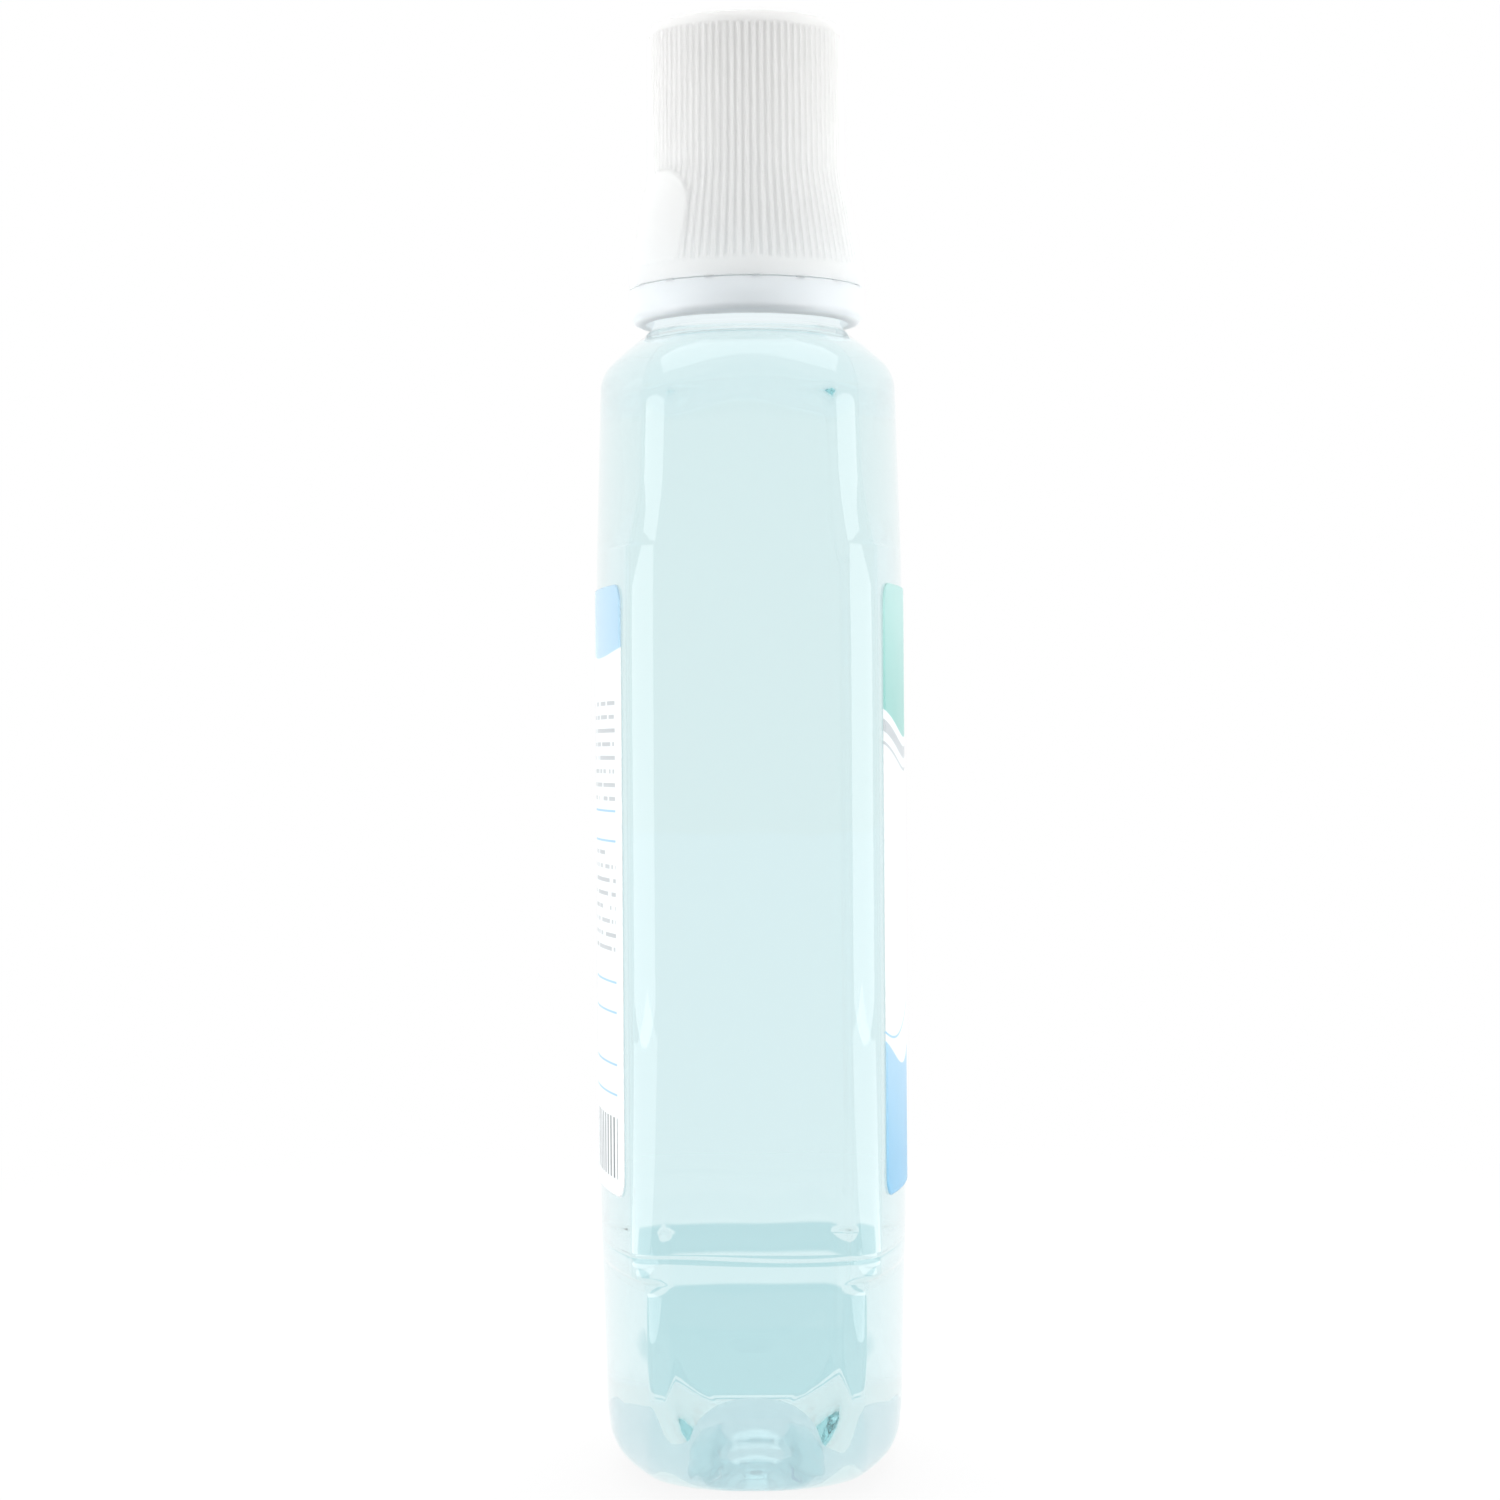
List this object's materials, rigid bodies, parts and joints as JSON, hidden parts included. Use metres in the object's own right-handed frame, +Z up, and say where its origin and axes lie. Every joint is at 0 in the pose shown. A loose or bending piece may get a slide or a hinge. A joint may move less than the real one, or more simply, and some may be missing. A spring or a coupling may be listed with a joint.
{
  "type": "mouthwash bottle",
  "caption": "Clear flat-sided bottle of pale blue rinse with a ribbed white squeeze-and-turn dosing cap, tamper ring and curved labels.",
  "frame": {"origin": "middle of the standing ring, at the surface that the bottle stands on", "axes": "+Z up along the neck, X across the wide faces, -Y out of the front label"},
  "size_m": [0.0738, 0.0472, 0.2189],
  "materials": {
    "clear_wall": "gloss",
    "rinse": "gloss",
    "front_print": "satin",
    "back_print": "satin",
    "white_ring": "satin",
    "seal_foam": "matte",
    "white_cup": "satin",
    "white_shell": "satin"
  },
  "bodies": {
    "bottle": {"bottle": "clear_wall", "mouthwash": "rinse", "front_label": "front_print", "back_label": "back_print"},
    "tamper_ring": {"tamper_ring": "white_ring"},
    "seal": {"seal_ring": "seal_foam"},
    "cup": {"dosing_cup": "white_cup"},
    "cap": {"cap_shell": "white_shell"}
  },
  "joints": [
    {"name": "ring_spin", "type": "hinge", "parent": "bottle", "child": "tamper_ring", "pos_m": [0, 0, 0.1758], "axis": [0, 0, 1], "continuous": true},
    {"name": "cap_off", "type": "slide", "parent": "bottle", "child": "seal", "axis": [0, 0, 1], "range_m": [0, 0.07]},
    {"name": "cap_rise", "type": "slide", "parent": "seal", "child": "cup", "axis": [0, 0, 1], "range_m": [0, 0.00635]},
    {"name": "cap_turn", "type": "hinge", "parent": "cup", "child": "cap", "pos_m": [0, 0, 0.19], "axis": [0, 0, 1], "range_deg": [0, 540]}
  ],
  "couplings": [
    {"joint": "cap_rise", "follows": "cap_turn", "m_per_rad": 0.00067371}
  ]
}
